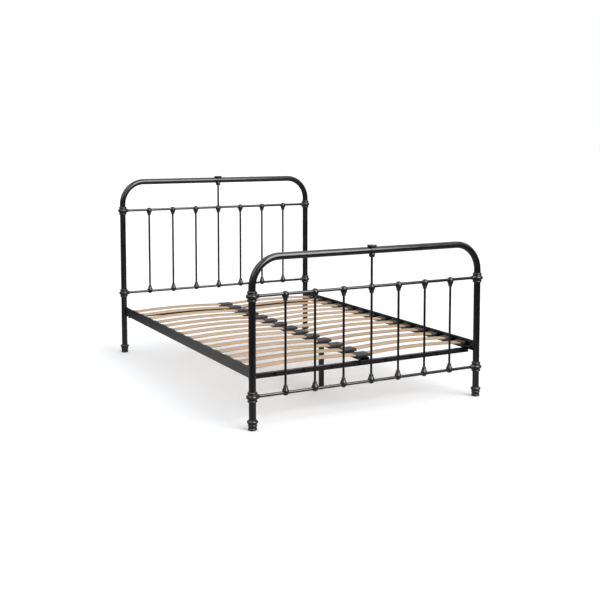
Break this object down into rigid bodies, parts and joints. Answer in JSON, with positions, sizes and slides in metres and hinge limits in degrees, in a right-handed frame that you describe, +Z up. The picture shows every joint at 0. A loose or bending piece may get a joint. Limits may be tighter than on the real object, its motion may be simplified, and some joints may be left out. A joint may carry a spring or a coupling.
{
  "type": "bed frame",
  "caption": "Double bed frame with an arched tube headboard and lower footboard, round spindles on cast knuckles, side rails and two rows of bowed slats.",
  "frame": {"origin": "on the floor under the middle of the bed: midway between the posts across the bed and midway between the two boards", "axes": "+X across the bed, to the right seen from the foot; +Y from the footboard to the headboard; +Z up"},
  "size_m": [1.453, 2.083, 1.1805],
  "materials": {
    "tube_black": "satin black powder coat on drawn steel tube, bar and strip",
    "cast_black": "satin black powder coat on castings, a little softer and pitted",
    "beech": "smooth clear-lacquered beech, laminated and bowed",
    "black_plastic": "moulded black plastic, fine matt texture",
    "bolt_steel": "black zinc-plated steel bolts, a little brighter than the powder coat"
  },
  "bodies": {
    "frame": {"headboard_arch": "tube_black", "headboard_upper_rail": "tube_black", "headboard_lower_rail": "tube_black", "headboard_short_spindle": "tube_black", "headboard_crown": "cast_black", "headboard_upper_knuckles": "cast_black", "headboard_lower_knuckles": "cast_black", "footboard_arch": "tube_black", "footboard_upper_rail": "tube_black", "footboard_lower_rail": "tube_black", "footboard_short_spindle": "tube_black", "footboard_crown": "cast_black", "footboard_upper_knuckles": "cast_black", "footboard_lower_knuckles": "cast_black", "headboard_spindle_1": "tube_black", "headboard_spindle_2": "tube_black", "headboard_spindle_3": "tube_black", "headboard_spindle_4": "tube_black", "headboard_spindle_5": "tube_black", "headboard_spindle_6": "tube_black", "headboard_spindle_7": "tube_black", "footboard_spindle_1": "tube_black", "footboard_spindle_2": "tube_black", "footboard_spindle_3": "tube_black", "footboard_spindle_4": "tube_black", "footboard_spindle_5": "tube_black", "footboard_spindle_6": "tube_black", "footboard_spindle_7": "tube_black", "headboard_upper_collar_left": "cast_black", "headboard_upper_collar_right": "cast_black", "headboard_lower_collar_left": "cast_black", "headboard_lower_collar_right": "cast_black", "headboard_foot_left": "cast_black", "headboard_foot_right": "cast_black", "footboard_upper_collar_left": "cast_black", "footboard_upper_collar_right": "cast_black", "footboard_lower_collar_left": "cast_black", "footboard_lower_collar_right": "cast_black", "footboard_foot_left": "cast_black", "footboard_foot_right": "cast_black", "side_rail_left": "tube_black", "side_rail_right": "tube_black", "slat_ledge_left": "tube_black", "slat_ledge_right": "tube_black", "slats_left": "beech", "slats_right": "beech", "foot_crossbar": "tube_black", "head_crossbar": "tube_black", "foot_centre_leg": "tube_black", "head_centre_leg": "tube_black", "post_lugs": "tube_black", "rail_bolts": "bolt_steel", "crossbar_bolts": "bolt_steel", "centre_rail": "tube_black", "centre_rail_bolts": "bolt_steel", "leg_inserts": "black_plastic", "outer_slat_caps": "black_plastic", "centre_slat_caps": "black_plastic"},
    "foot_glide": {"foot_glide": "black_plastic"},
    "head_glide": {"head_glide": "black_plastic"}
  },
  "joints": [
    {"name": "foot_glide_screw", "type": "slide", "parent": "frame", "child": "foot_glide", "axis": [0, 0, 1], "range_m": [-0.012, 0.005]},
    {"name": "head_glide_screw", "type": "slide", "parent": "frame", "child": "head_glide", "axis": [0, 0, 1], "range_m": [-0.012, 0.005]}
  ]
}
